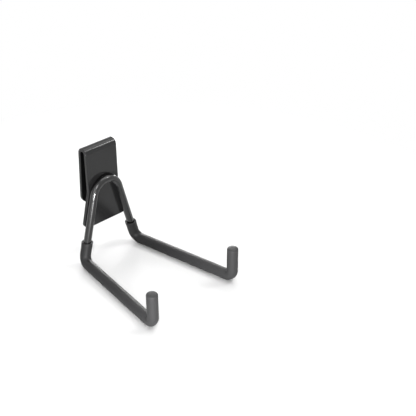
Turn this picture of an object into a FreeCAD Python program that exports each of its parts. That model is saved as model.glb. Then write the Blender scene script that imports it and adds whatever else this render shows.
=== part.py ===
import FreeCAD, Part
import math
import os
import Sketcher
from FreeCAD import Vector

# Garage utility hook. The origin is on the fold's own axis, midway across the plate: that is where the
# hook hangs on a rail. +X is to the right, the arms reach out along -Y and +Z is up.
# Lengths are millimetres and angles are degrees.

os.makedirs("parts", exist_ok=True)
doc = FreeCAD.newDocument("GarageUtilityHook")

sizes = {
    # hanger plate: thick sheet folded over at the top
    "sheetThickness": 3.4,
    "foldOuterRadius": 6.2,
    "plateWidth": 39.0,
    "flareWidth": 61.0,
    "kinkDrop": 41.0,
    "plateDrop": 81.5,
    "plateCornerRadius": 7.3,
    "backLeafLength": 60.3,
    "backLeafAngle": 3.3,
    "backLeafCornerRadius": 9.8,
    "sheetEdgeBreak": 0.5,
    # hook rod: drops are from the fold's axis to the rod's own axis
    "rodDiameter": 8.0,
    "archRadius": 16.5,
    "archDrop": 31.5,
    "legSplayAngle": 14.8,
    "armDrop": 115.1,
    "legBendRadius": 8.9,
    "armLength": 128.4,
    "armSplayAngle": 8.5,
    "tipBendRadius": 7.4,
    "tipHeight": 34.3,
    "rodEndChamfer": 0.5,
    # sleeves
    "sleeveDiameter": 11.4,
    "sleeveClearance": 0.05,
    "sleeveRise": 22.3,
    "sleeveCapThickness": 2.5,
    "sleeveTipRadius": 1.8,
    "sleeveMouthChamfer": 0.6,
    "sleeveMouthBreak": 0.35,
}

sheet = doc.addObject("Spreadsheet::Sheet", "Sizes")
for row, (name, number) in enumerate(sizes.items(), start=1):
    sheet.set(f"A{row}", name)
    sheet.set(f"B{row}", str(number))
    sheet.setAlias(f"B{row}", name)
doc.recompute()


def size(name):
    return float(sheet.get(name))


# Sketches and bodies

closeEnough = 0.01  # for telling an edge by its length, radius or place


def newSketch(body, name, plane):
    sketch = body.newObject("Sketcher::SketchObject", name)
    planes = [feature for feature in body.Origin.OriginFeatures if feature.Role == plane]
    sketch.AttachmentSupport = (planes[0], "")
    sketch.MapMode = "FlatFace"
    return sketch


def bindConstraint(sketch, name, constraint, expression):
    index = sketch.addConstraint(constraint)
    sketch.renameConstraint(index, name)
    sketch.setExpression(f"Constraints.{name}", expression)


def edgeNames(shape, wanted):
    return [f"Edge{index}" for index, edge in enumerate(shape.Edges, start=1) if wanted(edge)]


def addFillet(body, name, base, wanted, expression):
    doc.recompute()
    fillet = body.newObject("PartDesign::Fillet", name)
    fillet.Base = (base, edgeNames(base.Shape, wanted))
    fillet.setExpression("Radius", expression)
    body.Tip = fillet
    return fillet


# Hanger plate

def sectionSketch(body):
    # the sheet seen from the side: front leaf down to the kink, fold, and the back leaf leaning away
    sketch = newSketch(body, "SheetSection", "YZ_Plane")
    outer = size("foldOuterRadius")
    inner = outer - size("sheetThickness")
    drop = size("kinkDrop")
    lean = math.radians(size("backLeafAngle"))
    outward = Vector(math.cos(lean), math.sin(lean), 0)
    down = Vector(math.sin(lean), -math.cos(lean), 0) * size("backLeafLength")
    axis = Vector(0, 0, 0)
    normal = Vector(0, 0, 1)
    front, fold, back, backEnd, backInner, foldInner, frontInner, kinkEnd = sketch.addGeometry([
        Part.LineSegment(Vector(-outer, -drop, 0), Vector(-outer, 0, 0)),
        Part.ArcOfCircle(Part.Circle(axis, normal, outer), lean, math.pi),
        Part.LineSegment(outward * outer, outward * outer + down),
        Part.LineSegment(outward * outer + down, outward * inner + down),
        Part.LineSegment(outward * inner + down, outward * inner),
        Part.ArcOfCircle(Part.Circle(axis, normal, inner), lean, math.pi),
        Part.LineSegment(Vector(-inner, 0, 0), Vector(-inner, -drop, 0)),
        Part.LineSegment(Vector(-inner, -drop, 0), Vector(-outer, -drop, 0)),
    ])
    start, end, centre, origin = 1, 2, 3, -1
    sketch.addConstraint([
        Sketcher.Constraint("Tangent", front, end, fold, end),
        Sketcher.Constraint("Tangent", fold, start, back, start),
        Sketcher.Constraint("Coincident", back, end, backEnd, start),
        Sketcher.Constraint("Coincident", backEnd, end, backInner, start),
        Sketcher.Constraint("Tangent", backInner, end, foldInner, start),
        Sketcher.Constraint("Tangent", foldInner, end, frontInner, start),
        Sketcher.Constraint("Coincident", frontInner, end, kinkEnd, start),
        Sketcher.Constraint("Coincident", kinkEnd, end, front, start),
        Sketcher.Constraint("Coincident", fold, centre, origin, start),
        Sketcher.Constraint("Coincident", foldInner, centre, origin, start),
        Sketcher.Constraint("Vertical", front),
        Sketcher.Constraint("Vertical", frontInner),
        Sketcher.Constraint("Horizontal", kinkEnd),
        Sketcher.Constraint("Parallel", back, backInner),
        Sketcher.Constraint("Perpendicular", back, backEnd),
    ])
    bindConstraint(sketch, "outerRadius", Sketcher.Constraint("Radius", fold, outer),
                   "Sizes.foldOuterRadius")
    bindConstraint(sketch, "innerRadius", Sketcher.Constraint("Radius", foldInner, inner),
                   "Sizes.foldOuterRadius - Sizes.sheetThickness")
    bindConstraint(sketch, "frontDrop", Sketcher.Constraint("DistanceY", front, start, front, end, drop),
                   "Sizes.kinkDrop")
    bindConstraint(sketch, "leafLength", Sketcher.Constraint("Distance", back, down.Length),
                   "Sizes.backLeafLength")
    bindConstraint(sketch, "leafLean", Sketcher.Constraint("Angle", back, lean - math.pi / 2),
                   "Sizes.backLeafAngle - 90")
    return sketch


def flareSketch(body):
    # the front leaf below the kink, seen from the front
    sketch = newSketch(body, "FlareOutline", "XZ_Plane")
    sketch.setExpression("AttachmentOffset.Base.z", "Sizes.foldOuterRadius - Sizes.sheetThickness")
    kink, bottom = -size("kinkDrop"), -size("plateDrop")
    upper, lower = size("plateWidth") / 2, size("flareWidth") / 2
    top, right, foot, left = sketch.addGeometry([
        Part.LineSegment(Vector(-upper, kink, 0), Vector(upper, kink, 0)),
        Part.LineSegment(Vector(upper, kink, 0), Vector(lower, bottom, 0)),
        Part.LineSegment(Vector(lower, bottom, 0), Vector(-lower, bottom, 0)),
        Part.LineSegment(Vector(-lower, bottom, 0), Vector(-upper, kink, 0)),
    ])
    start, end, origin, upright = 1, 2, -1, -2
    sketch.addConstraint([
        Sketcher.Constraint("Coincident", top, end, right, start),
        Sketcher.Constraint("Coincident", right, end, foot, start),
        Sketcher.Constraint("Coincident", foot, end, left, start),
        Sketcher.Constraint("Coincident", left, end, top, start),
        Sketcher.Constraint("Symmetric", top, start, top, end, upright),
        Sketcher.Constraint("Symmetric", foot, start, foot, end, upright),
    ])
    bindConstraint(sketch, "upperWidth", Sketcher.Constraint("DistanceX", top, start, top, end, 2 * upper),
                   "Sizes.plateWidth")
    bindConstraint(sketch, "lowerWidth", Sketcher.Constraint("DistanceX", foot, end, foot, start, 2 * lower),
                   "Sizes.flareWidth")
    bindConstraint(sketch, "kinkDrop", Sketcher.Constraint("DistanceY", top, start, origin, start, -kink),
                   "Sizes.kinkDrop")
    bindConstraint(sketch, "plateDrop", Sketcher.Constraint("DistanceY", foot, start, origin, start, -bottom),
                   "Sizes.plateDrop")
    return sketch


def hangerPlate():
    body = doc.addObject("PartDesign::Body", "HangerPlate")
    body.Label = "hanger_plate"
    section = body.newObject("PartDesign::Pad", "FoldedStrip")
    section.Profile = sectionSketch(body)
    section.SideType = "Symmetric"
    section.setExpression("Length", "Sizes.plateWidth")

    flare = body.newObject("PartDesign::Pad", "Flare")
    flare.Profile = flareSketch(body)
    flare.setExpression("Length", "Sizes.sheetThickness")
    body.Tip = flare
    doc.recompute()

    # the two corners of each leaf, square across the sheet until they are rounded
    thickness = size("sheetThickness")

    def acrossSheet(edge):
        middle = edge.CenterOfMass
        return abs(edge.Length - thickness) < closeEnough and middle.z < 0

    def flareCorner(edge):
        middle = edge.CenterOfMass
        return acrossSheet(edge) and middle.y < 0 and middle.z < -size("kinkDrop") - closeEnough

    def leafCorner(edge):
        return acrossSheet(edge) and edge.CenterOfMass.y > 0

    lower = addFillet(body, "PlateCorners", flare, flareCorner, "Sizes.plateCornerRadius")
    corners = addFillet(body, "LeafCorners", lower, leafCorner, "Sizes.backLeafCornerRadius")
    doc.recompute()

    # both rims of the cut sheet are broken all the way round
    rim = body.newObject("PartDesign::Chamfer", "SheetRims")
    rim.Base = (corners, [""])
    rim.UseAllEdges = True
    rim.setExpression("Size", "Sizes.sheetEdgeBreak")
    body.Tip = rim
    return body


# Rod and sleeves

def bentPath(points, radii):
    # straight runs between the points, each inner point turned by an arc of its own radius
    edges = []
    last = points[0]
    for before, corner, after, radius in zip(points, points[1:], points[2:], radii):
        back = (before - corner).normalize()
        ahead = (after - corner).normalize()
        half = back.getAngle(ahead) / 2
        reach = radius / math.tan(half)
        middle = (back + ahead).normalize() * (radius / math.sin(half) - radius)
        edges.append(Part.LineSegment(last, corner + back * reach).toShape())
        edges.append(Part.Arc(corner + back * reach, corner + middle, corner + ahead * reach).toShape())
        last = corner + ahead * reach
    edges.append(Part.LineSegment(last, points[-1]).toShape())
    return Part.Wire(edges)


def roundBar(points, radii, diameter):
    path = bentPath(points, radii)
    heading = points[1] - points[0]
    disc = Part.Face(Part.Wire(Part.makeCircle(diameter / 2, points[0], heading)))
    return path.makePipe(disc)


def hookPoints(side):
    # corner points on one side, from the virtual peak over the arch down to the top of the tip
    rodLine = -size("foldOuterRadius") - size("rodDiameter") / 2
    splay = math.radians(size("legSplayAngle"))
    turn = math.radians(size("armSplayAngle"))
    peak = -size("archDrop") - size("archRadius") + size("archRadius") / math.sin(splay)
    run = (peak + size("armDrop")) * math.tan(splay)
    top = Vector(0, rodLine, peak)
    heel = Vector(side * run, rodLine, -size("armDrop"))
    toe = heel + Vector(side * math.sin(turn), -math.cos(turn), 0) * size("armLength")
    tip = toe + Vector(0, 0, size("tipHeight"))
    return top, heel, toe, tip


def hookRod():
    cap = Vector(0, 0, size("sleeveCapThickness") + size("sleeveClearance"))
    top, rightHeel, rightToe, rightTip = hookPoints(1)
    top, leftHeel, leftToe, leftTip = hookPoints(-1)
    points = [leftTip - cap, leftToe, leftHeel, top, rightHeel, rightToe, rightTip - cap]
    bends = [size("tipBendRadius"), size("legBendRadius")]
    bar = roundBar(points, bends + [size("archRadius")] + bends[::-1], size("rodDiameter"))
    ends = [edge for edge in bar.Edges if abs(edge.CenterOfMass.z - points[0].z) < closeEnough]
    rod = doc.addObject("Part::Feature", "HookRod")
    rod.Label = "hook_rod"
    rod.Shape = bar.makeChamfer(size("rodEndChamfer"), ends)
    return rod


def armSleeve(label):
    # the sleeve of the right arm
    top, heel, toe, tip = hookPoints(1)
    mouth = heel + (top - heel).normalize() * size("sleeveRise")
    bends = [size("legBendRadius"), size("tipBendRadius")]
    outside = roundBar([mouth, heel, toe, tip], bends, size("sleeveDiameter"))
    cap = Vector(0, 0, size("sleeveCapThickness"))
    boreDiameter = size("rodDiameter") + 2 * size("sleeveClearance")
    bore = roundBar([mouth, heel, toe, tip - cap], bends, boreDiameter)
    tube = outside.cut(bore)

    def ring(radius, centre):
        # the circular edge of this radius about this point
        return [edge for edge in tube.Edges if edge.Closed and hasattr(edge.Curve, "Radius")
                and abs(edge.Curve.Radius - radius) < closeEnough
                and (edge.Curve.Center - centre).Length < closeEnough]

    tipRing = ring(size("sleeveDiameter") / 2, tip)
    mouthRing = ring(size("sleeveDiameter") / 2, mouth)
    boreRing = ring(boreDiameter / 2, mouth)
    tube = tube.makeFillet(size("sleeveTipRadius"), tipRing)
    tube = tube.makeChamfer(size("sleeveMouthBreak"), mouthRing)
    tube = tube.makeChamfer(size("sleeveMouthChamfer"), boreRing)
    sleeve = doc.addObject("Part::Feature", "RightSleeve")
    sleeve.Label = label
    sleeve.Shape = tube
    return sleeve


def otherHand(label, source):
    mirror = doc.addObject("Part::Mirroring", "LeftSleeve")
    mirror.Label = label
    mirror.Source = source
    mirror.Normal = Vector(1, 0, 0)
    return mirror


rightSleeve = armSleeve("arm_sleeve_right")
parts = [hangerPlate(), hookRod(), rightSleeve, otherHand("arm_sleeve_left", rightSleeve)]
doc.recompute()
for thing in doc.Objects:
    if "Invalid" in thing.State or "Error" in thing.State:
        raise RuntimeError(f"{thing.Label} did not recompute")
for part in parts:
    if part.Shape.isNull() or not part.Shape.isValid() or len(part.Shape.Solids) != 1:
        raise RuntimeError(f"{part.Label} is not one valid solid")
    print(part.Label, "volume", round(part.Shape.Volume, 1), "box", part.Shape.BoundBox)
    part.Shape.exportStep(f"parts/{part.Label}.step")
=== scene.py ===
import math

import bpy
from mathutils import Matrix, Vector


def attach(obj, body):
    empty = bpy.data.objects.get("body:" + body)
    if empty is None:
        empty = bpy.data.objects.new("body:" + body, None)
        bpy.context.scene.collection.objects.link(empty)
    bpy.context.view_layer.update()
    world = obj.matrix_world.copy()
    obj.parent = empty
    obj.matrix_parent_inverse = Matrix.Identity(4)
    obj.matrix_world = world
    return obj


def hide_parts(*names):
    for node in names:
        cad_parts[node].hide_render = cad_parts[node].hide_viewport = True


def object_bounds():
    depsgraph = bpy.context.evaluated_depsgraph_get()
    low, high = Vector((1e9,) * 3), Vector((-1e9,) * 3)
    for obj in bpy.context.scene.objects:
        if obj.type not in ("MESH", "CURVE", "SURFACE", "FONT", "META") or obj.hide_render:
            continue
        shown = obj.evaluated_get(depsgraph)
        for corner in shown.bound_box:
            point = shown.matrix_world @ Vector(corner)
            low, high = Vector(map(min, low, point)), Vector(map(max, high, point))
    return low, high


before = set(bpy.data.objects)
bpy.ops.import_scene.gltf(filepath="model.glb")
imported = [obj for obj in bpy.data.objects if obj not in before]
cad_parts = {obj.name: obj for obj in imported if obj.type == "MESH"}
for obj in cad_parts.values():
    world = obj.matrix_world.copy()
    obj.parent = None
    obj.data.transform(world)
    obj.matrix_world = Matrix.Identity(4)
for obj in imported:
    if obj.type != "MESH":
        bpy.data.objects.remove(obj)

# Garage utility hook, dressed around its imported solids. Metres here, with piece sizes in millimetres.
# The origin is on the axis of the plate's fold, +X to the right, arms along -Y, +Z up.
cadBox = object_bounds()
mm = 0.001
print("frame loaded:", ", ".join(sorted(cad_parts)))


# Shader helpers

class Socket:
    # wraps an output, so that shader maths is written as plain sums
    def __init__(self, nodes, output):
        self.nodes = nodes
        self.output = output

    def calculate(self, operation, first, second):
        return self.nodes.add("Math", {"operation": operation}, {0: first, 1: second})

    def __add__(self, other):
        return self.calculate("ADD", self, other)

    def __sub__(self, other):
        return self.calculate("SUBTRACT", self, other)

    def __mul__(self, other):
        return self.calculate("MULTIPLY", self, other)

    def __rsub__(self, other):
        return self.calculate("SUBTRACT", other, self)

    __radd__ = __add__
    __rmul__ = __mul__


class Nodes:
    # one shader tree, empty at first
    def __init__(self, owner):
        owner.use_nodes = True
        self.tree = owner.node_tree
        self.tree.nodes.clear()

    def add(self, kind, settings, sockets, output=0):
        node = self.tree.nodes.new("ShaderNode" + kind)
        for name, value in settings.items():
            setattr(node, name, value)
        for name, value in sockets.items():
            if isinstance(value, Socket):
                self.tree.links.new(value.output, node.inputs[name])
            else:
                node.inputs[name].default_value = value
        return Socket(self, node.outputs[output] if node.outputs else None)

    def blend(self, amount, first, second):
        # colour one turning into colour two, by the numbers of a Mix node's colour sockets
        return self.add("Mix", {"data_type": "RGBA"}, {0: amount, 6: first, 7: second}, output=2)

    def noise(self, place, cell, detail):
        # cell is the size of one blotch in metres
        return self.add("TexNoise", {}, {"Vector": place, "Scale": 1 / cell, "Detail": detail})


def neutral(shade):
    return (shade, shade, shade, 1)


coolness = 1.02  # blue of the hook's greys, against their red and green


def coolGrey(shade):
    return (shade, shade, shade * coolness, 1)


def weighted(main, rest, share):
    return main * share + rest * (1 - share)


class Skin:
    # a dark finish out of slow blotches, a fine skin and a finer grain
    def __init__(self, name, look):
        self.look = look
        self.material = bpy.data.materials.new(name)
        self.nodes = Nodes(self.material)
        self.place = self.nodes.add("TexCoord", {}, {}, output="Object")
        self.blotch = self.nodes.noise(self.place, look["blotchCell"], detail=3.0)
        self.skin = self.nodes.noise(self.place, look["skinCell"], detail=2.0)
        self.grain = self.nodes.noise(self.place, look["grainCell"], detail=1.0)
        tone = weighted(self.blotch, self.grain, look["blotchShare"])
        self.shade = self.nodes.blend(tone, coolGrey(look["dark"]), coolGrey(look["pale"]))

    def coordinate(self, axis):
        return self.nodes.add("SeparateXYZ", {}, {"Vector": self.place}, output=axis)

    def cover(self, mask, shade):
        # another shade, by as much as the mask says
        self.shade = self.nodes.blend(mask, self.shade, coolGrey(shade))

    def finish(self, coat):
        # coat holds the sockets of a clear coat, and is empty where there is none
        look = self.look
        height = weighted(self.skin, self.grain, look["skinShare"])
        relief = self.nodes.add("Bump", {}, {
            "Strength": 1.0, "Distance": look["relief"] * mm, "Height": height})
        rough = (self.blotch + self.skin - 1) * look["roughnessSpread"] + look["roughness"]
        surface = self.nodes.add("BsdfPrincipled", {}, {
            "Base Color": self.shade, "Roughness": rough, "Normal": relief, "IOR": look["ior"], **coat})
        self.nodes.add("OutputMaterial", {}, {"Surface": surface})
        return self.material


# Mesh helpers

def makePiece(name, points, faces, finish, node):
    mesh = bpy.data.meshes.new(name)
    mesh.from_pydata(points, [], faces)
    mesh.validate()
    mesh.shade_smooth()
    piece = bpy.data.objects.new(name, mesh)
    bpy.context.scene.collection.objects.link(piece)
    mesh.materials.append(finish)
    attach(piece, "root")
    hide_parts(node)


def spread(start, end, count):
    # count values from start up to, and not including, end
    return [start + (end - start) * step / count for step in range(count)]


def quarterTurns(count):
    # count even turns up to a right angle, and that angle too
    return spread(0, math.pi / 2, count) + [math.pi / 2]


leastSteps = 2  # along any straight run


def bentRun(corners, radii, arcStep, runStep):
    # centres and headings along straight runs, with every inner corner turned by an arc of its own radius
    def straight(start, end, heading):
        steps = max(leastSteps, round((end - start).length / runStep))
        return [(start.lerp(end, along), heading) for along in spread(0, 1, steps)]

    run = []
    last = corners[0]
    for before, corner, after, radius in zip(corners, corners[1:], corners[2:], radii):
        back = (before - corner).normalized()
        ahead = (after - corner).normalized()
        half = back.angle(ahead) / 2
        first = corner + back * radius / math.tan(half)
        final = corner + ahead * radius / math.tan(half)
        hub = corner + (back + ahead).normalized() * radius / math.sin(half)
        turn = math.pi - 2 * half
        out = (first - hub).normalized()
        run += straight(last, first, -back)
        for angle in spread(0, turn, math.ceil(turn / arcStep)):
            heading = -back * math.cos(angle) - out * math.sin(angle)
            run.append((hub + (out * math.cos(angle) - back * math.sin(angle)) * radius, heading))
        last = final
    heading = (corners[-1] - last).normalized()
    return run + straight(last, corners[-1], heading) + [(corners[-1], heading)]


def sweepRings(run, sides):
    # unit rings square to the run, carried along without twist
    side = run[0][1].orthogonal().normalized()
    heading = run[0][1]
    rings = []
    for centre, ahead in run:
        side = heading.rotation_difference(ahead) @ side
        heading = ahead
        up = heading.cross(side)
        rings.append([side * math.cos(turn) + up * math.sin(turn) for turn in spread(0, math.tau, sides)])
    return rings


class Tube:
    # rings of equal count joined into a skin
    def __init__(self, sides):
        self.sides = sides
        self.points = []
        self.faces = []

    def ring(self, centre, ring, radius):
        first = len(self.points)
        low = first - self.sides
        self.points += [centre + offset * radius for offset in ring]
        if first:
            for one, two in self.pairs():
                self.faces.append((low + one, low + two, first + two, first + one))

    def pairs(self):
        return [(one, (one + 1) % self.sides) for one in range(self.sides)]

    def close(self, first, last):
        # a fan over the last ring, and another over the first one
        hub = len(self.points)
        low = hub - self.sides
        self.faces += [(hub, low + one, low + two) for one, two in self.pairs()]
        self.faces += [(hub + 1, two, one) for one, two in self.pairs()]
        self.points += [last, first]


# Paint of the plate and the rod: satin black with an orange peel

paint = {
    "blotchCell": 0.011,
    "blotchShare": 0.7,
    "skinCell": 0.0013,
    "skinShare": 0.75,
    "grainCell": 0.00022,
    "relief": 0.0004,
    "roughnessSpread": 0.04,
}


# Hanger plate: cut flat, rims eased, then folded over

plate = {
    "thickness": 3.4,
    "foldRadius": 6.2,  # outer face
    "halfWidth": 19.5,
    "flareHalfWidth": 30.5,  # where the flared sides would meet the bottom edge
    "kinkDrop": 41.0,
    "drop": 81.5,
    "cornerRadius": 7.3,
    "leafLength": 60.3,
    "leafLean": 3.3,  # degrees
    "leafCornerRadius": 9.8,
    "rimRadius": 0.55,
    "rimSteps": 4,
    "rimMargin": 0.2,  # flat strip that keeps the shading of the faces flat
    "columns": 12,
    "foldSteps": 48,
    "cornerSteps": 12,
    "sideSteps": 10,
}

platePaint = {
    **paint,
    "dark": 0.008,
    "pale": 0.011,
    "roughness": 0.18,
    "ior": 1.36,
    "channelShade": 0.002,  # painted shade: a darker colour inside the channel, where it lies in shadow
    "channelShadeDepth": 54.0,  # from the fold's axis down
    "channelShadeFade": 0.8,
}

foldTurn = math.pi - math.radians(plate["leafLean"])
foldLength = plate["foldRadius"] * foldTurn


def sheetOutline():
    # right half of the flat blank, from the bottom edge up over the fold to the end of the back leaf:
    # rows of across, along and the outward normal, with along counted up from the fold's front edge
    halfWidth, kink = plate["halfWidth"], -plate["kinkDrop"]
    flare = math.atan2(plate["flareHalfWidth"] - halfWidth, plate["drop"] - plate["kinkDrop"])
    foot = -plate["drop"]
    radius = plate["cornerRadius"]
    # centre of the lower corner: one radius up from the bottom edge and one in from the flared side
    hubAlong = foot + radius
    hubAcross = plate["flareHalfWidth"] - radius * math.tan(flare) - radius / math.cos(flare)
    rows = []
    for turn in spread(-math.pi / 2, -flare, plate["cornerSteps"]):
        out = (math.cos(turn), math.sin(turn))
        rows.append((hubAcross + radius * out[0], hubAlong + radius * out[1], out))
    out = (math.cos(flare), -math.sin(flare))
    low = (hubAcross + radius * out[0], hubAlong + radius * out[1])
    for part in spread(0, 1, plate["sideSteps"]):
        rows.append((low[0] + (halfWidth - low[0]) * part, low[1] + (kink - low[1]) * part, out))
    rows.append((halfWidth, kink, (1, -math.tan(flare / 2))))
    # straight up the side, over the fold and down the leaf, as far as its rounded corner
    radius = plate["leafCornerRadius"]
    hubAlong = foldLength + plate["leafLength"] - radius
    hubAcross = halfWidth - radius
    alongs = spread(kink, 0, plate["sideSteps"])[1:]
    alongs += spread(0, foldLength, plate["foldSteps"])
    alongs += spread(foldLength, hubAlong, plate["sideSteps"])
    rows += [(halfWidth, along, (1, 0)) for along in alongs]
    for turn in quarterTurns(plate["cornerSteps"]):
        out = (math.cos(turn), math.sin(turn))
        rows.append((hubAcross + radius * out[0], hubAlong + radius * out[1], out))
    return rows


def foldPoint(across, along, depth):
    # a point of the flat blank, depth millimetres in from its outer face, after folding
    reach = plate["foldRadius"] - depth
    turn = min(max(along / foldLength, 0), 1) * foldTurn
    y, z = -reach * math.cos(turn), reach * math.sin(turn)
    if along < foldLength:
        z += min(along, 0)
    else:
        y += (along - foldLength) * math.sin(foldTurn)
        z += (along - foldLength) * math.cos(foldTurn)
    return Vector((across, y, z)) * mm


def rimProfile():
    # how far in from the outline, and how deep, from the outer face round to the inner one
    radius, margin, depth = plate["rimRadius"], plate["rimMargin"], plate["thickness"]
    half = [(radius + margin, 0)]
    for turn in quarterTurns(plate["rimSteps"]):
        half.append((radius * (1 - math.sin(turn)), radius * (1 - math.cos(turn))))
    half.append((0, radius + margin))
    return half + [(inset, depth - down) for inset, down in half[::-1]]


def channelShadeMask(skin):
    # mask of the painted shade: 1 on the two faces of the sheet inside the channel, 0 elsewhere
    def within(value, limit):
        fade = {"Value": value, "From Min": limit + platePaint["channelShadeFade"] * mm, "From Max": limit}
        return skin.nodes.add("MapRange", {}, fade)

    inside = (plate["foldRadius"] - plate["thickness"]) * mm
    back, height = skin.coordinate("Y"), skin.coordinate("Z")
    leaning = back + height * math.tan(math.radians(plate["leafLean"]))
    front = within(back * -1, inside)
    rear = within(leaning, inside)
    over = within(height, inside)
    under = within(height * -1, platePaint["channelShadeDepth"] * mm)
    return front * rear * over * under


def hangerPlate():
    rows = sheetOutline()
    profile = rimProfile()
    columns = plate["columns"]
    # the outline once round: bottom edge, right side up, far edge, left side down
    corner, last = rows[0], rows[-1]
    bottom = [(corner[0] * (2 * part - 1), corner[1], (0, -1)) for part in spread(0, 1, columns)]
    far = [(last[0] * (1 - 2 * part), last[1], (0, 1)) for part in spread(0, 1, columns)]
    right = rows[:-1]
    left = [(-across, along, (-out[0], out[1])) for across, along, out in rows[:0:-1]]
    outline = bottom + right + far + left
    points, faces = [], []
    for inset, depth in profile:
        for across, along, out in outline:
            points.append(foldPoint(across - out[0] * inset, along - out[1] * inset, depth))
    count = len(outline)
    for level in range(len(profile) - 1):
        for one in range(count):
            two = (one + 1) % count
            low, high = level * count, (level + 1) * count
            faces.append((low + two, low + one, high + one, high + two))
    # each face of the sheet is a grid between the first or the last level of the rim
    for level, flip in ((0, False), (len(profile) - 1, True)):
        base = level * count
        inset, depth = profile[level]
        grid = [[base + one for one in range(columns + 1)]]
        for row in range(1, len(rows) - 1):
            across, along, out = rows[row]
            across, along = across - out[0] * inset, along - out[1] * inset
            inner = []
            for part in spread(0, 1, columns)[1:]:
                inner.append(len(points))
                points.append(foldPoint(across * (2 * part - 1), along, depth))
            grid.append([base + count - row] + inner + [base + columns + row])
        top = base + columns + len(rows) - 1
        grid.append([top + columns - one for one in range(columns + 1)])
        for low, high in zip(grid, grid[1:]):
            for one in range(columns):
                face = (low[one], low[one + 1], high[one + 1], high[one])
                faces.append(face[::-1] if flip else face)
    skin = Skin("satinBlackPaint", platePaint)
    # the channel's inside gets a darker colour, as painted shade
    skin.cover(channelShadeMask(skin), platePaint["channelShade"])
    makePiece("hangerPlateSheet", points, faces, skin.finish({}), "hanger_plate")


# Hook rod: one bar, bent in an arch, two legs, two arms and two tips

rod = {
    "radius": 4.0,
    "archRadius": 16.5,
    "archDrop": 31.5,
    "legSplay": 14.8,  # degrees
    "armDrop": 115.1,
    "legBendRadius": 8.9,
    "armLength": 128.4,
    "armSplay": 8.5,  # degrees
    "tipBendRadius": 7.4,
    "tipHeight": 34.3,
    "endBreak": 0.5,
    "sides": 64,
    "arcStep": math.radians(4),
    "runStep": 6.0,
}

rodPaint = {
    **paint,
    "dark": 0.003,
    "pale": 0.005,
    "roughness": 0.42,
    "ior": 1.1,
}

clearCoat = {
    "Coat Weight": 1.0,
    "Coat Roughness": 0.18,
    "Coat IOR": 1.53,
}


def hookCorners(side):
    # corners of one half: virtual peak over the arch, heel, toe and the top of the tip
    line = -plate["foldRadius"] - rod["radius"]
    splay, turn = math.radians(rod["legSplay"]), math.radians(rod["armSplay"])
    peak = -rod["archDrop"] - rod["archRadius"] + rod["archRadius"] / math.sin(splay)
    top = Vector((0, line, peak))
    heel = Vector((side * (peak + rod["armDrop"]) * math.tan(splay), line, -rod["armDrop"]))
    toe = heel + Vector((side * math.sin(turn), -math.cos(turn), 0)) * rod["armLength"]
    tip = toe + Vector((0, 0, rod["tipHeight"]))
    return [top, heel, toe, tip]


def hookRod():
    right, left = hookCorners(1), hookCorners(-1)
    cap = Vector((0, 0, sleeve["capThickness"] + sleeve["clearance"]))
    corners = [left[3] - cap, left[2], left[1], right[0], right[1], right[2], right[3] - cap]
    bends = [rod["tipBendRadius"], rod["legBendRadius"], rod["archRadius"],
             rod["legBendRadius"], rod["tipBendRadius"]]
    run = bentRun(corners, bends, rod["arcStep"], rod["runStep"])
    rings = sweepRings(run, rod["sides"])
    tube = Tube(rod["sides"])
    last = len(run) - 1
    easing = rod["endBreak"]
    for index, ((centre, heading), ring) in enumerate(zip(run, rings)):
        if index == 0:
            tube.ring(centre * mm, ring, (rod["radius"] - easing) * mm)
            centre = centre + heading * easing
        if index == last:
            tube.ring((centre - heading * easing) * mm, ring, rod["radius"] * mm)
            tube.ring(centre * mm, ring, (rod["radius"] - easing) * mm)
        else:
            tube.ring(centre * mm, ring, rod["radius"] * mm)
    tube.close(run[0][0] * mm, run[-1][0] * mm)
    finish = Skin("glossyBarPaint", rodPaint).finish(clearCoat)
    makePiece("hookRodBar", tube.points, tube.faces, finish, "hook_rod")


# Arm sleeves: dipped vinyl tubes with a closed, rounded end

sleeve = {
    "radius": 5.698,
    "clearance": 0.05,
    "rise": 22.3,  # up the leg from the heel corner
    "capThickness": 2.5,
    "tipRadius": 1.8,
    "tipCrown": 0.25,
    "tipSteps": 10,
    "crownShares": (0.75, 0.5, 0.25),  # rings on the flat of the tip, as shares of its radius
    "mouthLevel": 0.5,  # 0 is cut square to the leg, 1 level
    "mouthFlare": 0.22,
    "mouthRun": 9.0,  # the length over which the mouth's flat cut and flare fade out
    "mouthSteps": 8,
    "mouthRound": 0.35,
    "roundSteps": 4,
    "boreEase": 0.6,
    "sides": 72,
    "arcStep": math.radians(3),
    "runStep": 3.0,
}

vinyl = {
    "dark": 0.012,
    "pale": 0.017,
    "blotchCell": 0.016,
    "blotchShare": 0.6,
    "skinCell": 0.0009,
    "skinShare": 0.6,
    "grainCell": 0.00018,
    "relief": 0.012,
    "roughness": 0.50,
    "roughnessSpread": 0.05,
    "ior": 1.26,
    "scuffAndLight": 0.031,  # paler at the tips: partly painted light on the better lit tips, partly wear where things slide on and off
    "scuffAndLightFrom": -0.015,
    "scuffAndLightTo": -0.140,
    "scuffAndLightLeast": 0.7,  # in the low spots of the blotches
    "scuffAndLightSpread": 0.6,
}


def vinylFinish():
    skin = Skin("sleeveVinyl", vinyl)
    # paler little by little towards the tips, most in the high spots of its blotches: painted light where
    # the tips are lit more, and handling wear
    wornAndLit = skin.nodes.add("MapRange", {}, {
        "Value": skin.coordinate("Y"), "From Min": vinyl["scuffAndLightFrom"], "From Max": vinyl["scuffAndLightTo"]})
    patches = vinyl["scuffAndLightLeast"] + skin.blotch * vinyl["scuffAndLightSpread"]
    skin.cover(wornAndLit * wornAndLit * patches, vinyl["scuffAndLight"])
    return skin.finish({})


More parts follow.
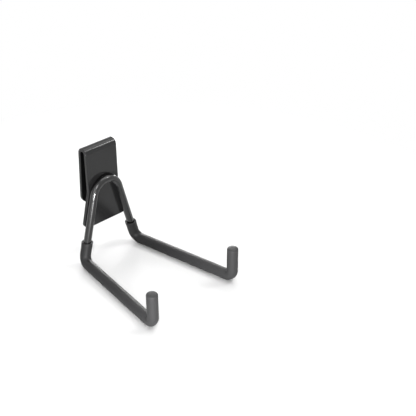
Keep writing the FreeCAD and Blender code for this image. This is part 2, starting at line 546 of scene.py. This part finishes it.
def armSleeve(name, side, finish, node):
    top, heel, toe, tip = hookCorners(side)
    mouth = heel + (top - heel).normalized() * sleeve["rise"]
    cap = Vector((0, 0, sleeve["capThickness"]))
    bends = [rod["legBendRadius"], rod["tipBendRadius"]]
    outside = bentRun([mouth, heel, toe, tip], bends, sleeve["arcStep"], sleeve["runStep"])
    inside = bentRun([mouth, heel, toe, tip - cap], bends, sleeve["arcStep"], sleeve["runStep"])
    outerRings = sweepRings(outside, sleeve["sides"])
    boreRings = sweepRings(inside, sleeve["sides"])
    down, square = inside[0][1], boreRings[0]
    radius = sleeve["radius"]
    boreRadius = rod["radius"] + sleeve["clearance"]
    tube = Tube(sleeve["sides"])

    def levelRing(wide, along, level):
        # a ring of the leg's tube, level from 0, square to the leg, to 1, cut off flat
        offsets = [offset * wide - down * (level * wide * offset.z / down.z) for offset in square]
        tube.ring((mouth + down * along) * mm, offsets, mm)

    def tipRing(rise, wide):
        tube.ring((tip + Vector((0, 0, rise))) * mm, outerRings[-1], wide * mm)

    # up the bore from the closed end to the mouth
    reach = sleeve["mouthRun"]
    for (centre, heading), ring in list(zip(inside, boreRings))[:0:-1]:
        if (centre - mouth).length > reach:
            tube.ring(centre * mm, ring, boreRadius * mm)

    # the mouth's lip: eased into the bore, rounded over to the outside, a little wider than the tube
    flare, level = sleeve["mouthFlare"], sleeve["mouthLevel"]
    ease, boreEase = sleeve["mouthRound"], sleeve["boreEase"]
    levelRing(boreRadius, boreEase, level)
    levelRing(boreRadius + boreEase, 0, level)
    for turn in quarterTurns(sleeve["roundSteps"]):
        levelRing(radius + flare - ease + ease * math.sin(turn), ease * (1 - math.cos(turn)), level)
    for part in spread(0, 1, sleeve["mouthSteps"])[1:]:
        swell = flare * (1 + math.cos(math.pi * part)) / 2
        levelRing(radius + swell, ease + (reach - ease) * part, level * (1 - part))

    # down the leg, round the heel, along the arm and up to the rounded tip
    curve = sleeve["tipRadius"]
    crown = sleeve["tipCrown"]
    for (centre, heading), ring in zip(outside, outerRings):
        if (centre - mouth).length > reach and (centre - tip).length > curve:
            tube.ring(centre * mm, ring, radius * mm)
    for turn in quarterTurns(sleeve["tipSteps"]):
        tipRing(curve * (math.sin(turn) - 1) - crown, radius - curve + curve * math.cos(turn))
    for share in sleeve["crownShares"]:
        tipRing(-crown * share ** 2, (radius - curve) * share)
    tube.close((tip - cap) * mm, tip * mm)
    makePiece(name, tube.points, tube.faces, finish, node)


hangerPlate()
print("hanger plate cut and folded")
hookRod()
print("rod bent")
sleeveVinyl = vinylFinish()
armSleeve("armSleeveLeft", -1, sleeveVinyl, "arm_sleeve_left")
armSleeve("armSleeveRight", 1, sleeveVinyl, "arm_sleeve_right")
print("sleeves fitted")


# Stage: pale floor, soft lamps, camera

stage = {
    "floorHalf": 3.0,
    "floorShade": 0.27,  # as it lights the hook
    "floorSeen": 0.735,  # as it is seen, round the hook
    "fadeCentre": (0.0, -0.07, -0.12),
    "fadeFrom": 0.14,
    "fadeTo": 0.44,
    "worldLight": 0.27,
}


def seenRay(nodes):
    # 1 for the camera's rays, and for what a glossy or clear surface shows of the background
    camera, glossy, clear = [
        nodes.add("LightPath", {}, {}, output=ray)
        for ray in ("Is Camera Ray", "Is Glossy Ray", "Is Transmission Ray")]
    # clamped, since a ray through glass can be both of the last two
    return nodes.add("Math", {"operation": "ADD", "use_clamp": True}, {0: camera + glossy, 1: clear})


def floorPlane():
    half = stage["floorHalf"]
    height = cadBox[0][2]
    mesh = bpy.data.meshes.new("floor")
    corners = [(-half, -half, height), (half, -half, height), (half, half, height), (-half, half, height)]
    mesh.from_pydata(corners, [], [(0, 1, 2, 3)])
    floor = bpy.data.objects.new("floor", mesh)
    bpy.context.scene.collection.objects.link(floor)
    material = bpy.data.materials.new("paleFloor")
    nodes = Nodes(material)
    seen = seenRay(nodes)
    shade = nodes.blend(seen, neutral(stage["floorShade"]), neutral(stage["floorSeen"]))
    surface = nodes.add("BsdfDiffuse", {}, {"Color": shade})
    # away from the hook, where the lamps fall off, it is seen as plain white
    place = nodes.add("TexCoord", {}, {}, output="Object")
    away = nodes.add("VectorMath", {"operation": "DISTANCE"}, {
        0: place, 1: stage["fadeCentre"]}, output="Value")
    fade = nodes.add("MapRange", {"interpolation_type": "SMOOTHSTEP"}, {
        "Value": away, "From Min": stage["fadeFrom"], "From Max": stage["fadeTo"]})
    white = nodes.add("Emission", {}, {"Color": neutral(1), "Strength": 1.0})
    floorLook = nodes.add("MixShader", {}, {0: seen * fade, 1: surface, 2: white})
    nodes.add("OutputMaterial", {}, {"Surface": floorLook})
    mesh.materials.append(material)


def softWorld():
    # dimmer as light than as it is seen
    world = bpy.data.worlds.new("softRoom")
    bpy.context.scene.world = world
    nodes = Nodes(world)
    shade = nodes.blend(seenRay(nodes), neutral(stage["worldLight"]), neutral(1))
    glow = nodes.add("Background", {}, {"Color": shade, "Strength": 1.0})
    nodes.add("OutputWorld", {}, {"Surface": glow})


lamps = {
    # name: where it stands, where it points, width and height in metres, watts
    "overhead": {"at": (0.62, -0.15, 1.45), "to": (0, -0.05, -0.1), "size": (1.6, 1.6), "power": 17},
    "backTop": {"at": (0.02, 0.50, 0.70), "to": (0, -0.07, -0.1), "size": (0.7, 0.45), "power": 2.4},
    "topRight": {"at": (0.73, -0.50, 0.84), "to": (0, -0.05, -0.05), "size": (0.16, 0.10), "power": 2.8},
    "backRight": {"at": (0.42, 0.31, 0.05), "to": (0, -0.05, -0.1), "size": (0.22, 0.16), "power": 2.5},
    "leftStrip": {"at": (-0.50, -0.16, 0.24), "to": (0, -0.02, 0.24), "size": (0.06, 0.73), "power": 1.3},
    "leftHigh": {"at": (-0.42, -0.50, 0.42), "to": (0, -0.01, -0.03), "size": (0.06, 0.34), "power": 2.1},
    "front": {"at": (-0.31, -0.44, -0.10), "to": (0, -0.14, -0.08), "size": (0.14, 0.025), "power": 4.6},
}


def addLamp(name, lamp):
    light = bpy.data.lights.new(name, "AREA")
    light.shape = "RECTANGLE"
    light.size, light.size_y = lamp["size"]
    light.energy = lamp["power"]
    holder = bpy.data.objects.new(name, light)
    holder.location = lamp["at"]
    aim = Vector(lamp["to"]) - Vector(lamp["at"])
    holder.rotation_euler = aim.to_track_quat("-Z", "Y").to_euler()
    bpy.context.scene.collection.objects.link(holder)


view = {
    "at": (-0.47391, -0.62723, 0.39090),
    "ahead": (0.61049, 0.60624, -0.50968),
    "lens": 75.08,
    "sensor": 36.0,
    "shift": (-0.0008, 0.0010),
}


def addCamera():
    camera = bpy.data.cameras.new("camera")
    camera.lens = view["lens"]
    camera.sensor_width = view["sensor"]
    camera.shift_x, camera.shift_y = view["shift"]
    holder = bpy.data.objects.new("camera", camera)
    holder.location = view["at"]
    holder.rotation_euler = Vector(view["ahead"]).to_track_quat("-Z", "Y").to_euler()
    bpy.context.scene.collection.objects.link(holder)
    bpy.context.scene.camera = holder


floorPlane()
softWorld()
for lampName, lamp in lamps.items():
    addLamp(lampName, lamp)
addCamera()
bpy.context.scene.view_settings.view_transform = "Standard"
print("stage set")
